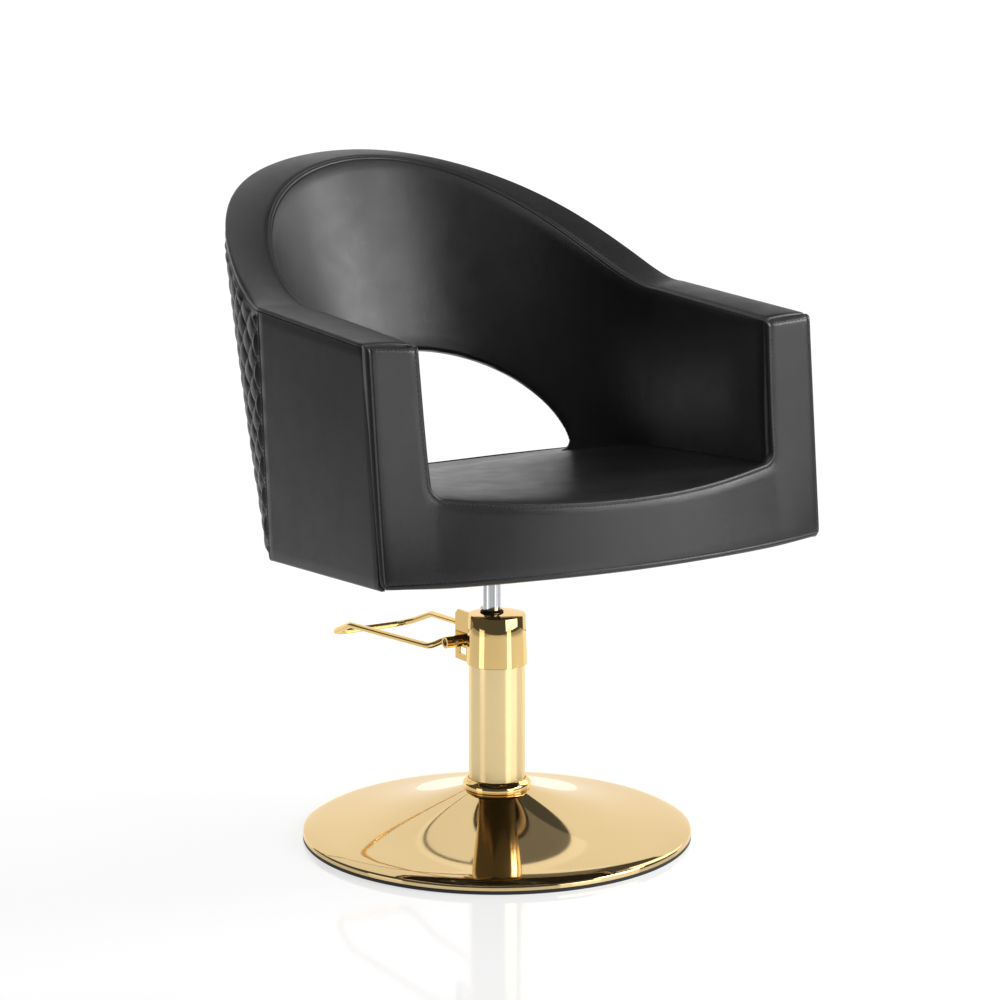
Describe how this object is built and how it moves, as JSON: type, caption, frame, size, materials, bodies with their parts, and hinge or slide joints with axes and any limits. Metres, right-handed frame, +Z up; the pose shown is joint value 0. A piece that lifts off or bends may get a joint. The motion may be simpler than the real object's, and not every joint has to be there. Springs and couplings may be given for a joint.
{
  "type": "hairdressing chair",
  "caption": "Upholstered tub seat with a quilted back and an arched opening, on a hydraulic column that lifts and swivels over a round base and is pumped by a foot lever",
  "frame": {"origin": "on the floor, at the centre of the round base", "axes": "+Z up, the sitter faces -Y, +X to the sitter's left"},
  "size_m": [0.69, 0.7522, 0.9473],
  "materials": {
    "polished_gold": "polished gold plating",
    "satin_gold": "satin gold plating",
    "chrome": "polished",
    "zinc_steel": "zinc plated",
    "black_steel": "satin black paint",
    "bronze": "plain bearing bronze",
    "black_rubber": "matte",
    "black_leather": "fine grain, semi-matte",
    "birch_ply": "bare plywood",
    "black_cloth": "non-woven dust cloth"
  },
  "bodies": {
    "base": {"base_plate": "zinc_steel", "rubber_edge_trim": "black_rubber", "base_cover": "polished_gold", "pump_flange": "black_steel", "flange_bolt_1": "zinc_steel", "flange_bolt_2": "zinc_steel", "flange_bolt_3": "zinc_steel", "flange_bolt_4": "zinc_steel", "collar_ring": "polished_gold", "column_tube": "satin_gold", "pump_head_sleeve": "polished_gold", "rod_guide_bush": "bronze", "wiper_seal": "black_rubber", "pressure_cylinder": "zinc_steel", "pump_barrel": "zinc_steel", "lever_bracket": "polished_gold", "bracket_screw_upper": "zinc_steel", "bracket_screw_lower": "zinc_steel"},
    "lever": {"foot_lever": "polished_gold", "lever_hub_right": "polished_gold", "lever_hub_left": "polished_gold", "lever_set_screw_right": "zinc_steel", "lever_set_screw_left": "zinc_steel", "lever_shaft": "zinc_steel", "pump_rocker": "black_steel"},
    "plunger": {"pump_plunger": "zinc_steel", "plunger_spring": "zinc_steel"},
    "piston": {"piston_head": "zinc_steel", "piston_seal": "black_rubber", "thrust_bearing": "bronze"},
    "seat": {"piston_rod": "chrome", "seat_plate": "black_steel", "socket_clamp_screw": "zinc_steel", "seat_plate_bolt_1": "zinc_steel", "seat_plate_bolt_2": "zinc_steel", "seat_plate_bolt_3": "zinc_steel", "seat_plate_bolt_4": "zinc_steel", "seat_board": "birch_ply", "underside_cover": "black_cloth", "tub_frame": "birch_ply", "seat_cushion": "black_leather", "back_and_arm_padding": "black_leather", "front_panel": "black_leather", "side_panel_right": "black_leather", "side_panel_left": "black_leather", "quilted_back_cover": "black_leather"}
  },
  "joints": [
    {"name": "seat_lift", "type": "slide", "parent": "base", "child": "piston", "axis": [0, 0, 1], "range_m": [-0.06, 0.09]},
    {"name": "seat_swivel", "type": "hinge", "parent": "piston", "child": "seat", "pos_m": [0, 0.0135, 0.1086], "axis": [0, 0, 1], "continuous": true},
    {"name": "lever_pivot", "type": "hinge", "parent": "base", "child": "lever", "pos_m": [0, 0.055, 0.272], "axis": [1, 0, 0], "range_deg": [-24, 0], "stiffness_Nm_per_rad": 3, "springref_deg": 45.84},
    {"name": "plunger_stroke", "type": "slide", "parent": "base", "child": "plunger", "axis": [0, 0, 1], "range_m": [0, 0.0115], "deforming": ["plunger_spring"]}
  ],
  "couplings": [
    {"joint": "plunger_stroke", "follows": "lever_pivot", "m_per_rad": -0.0252}
  ]
}
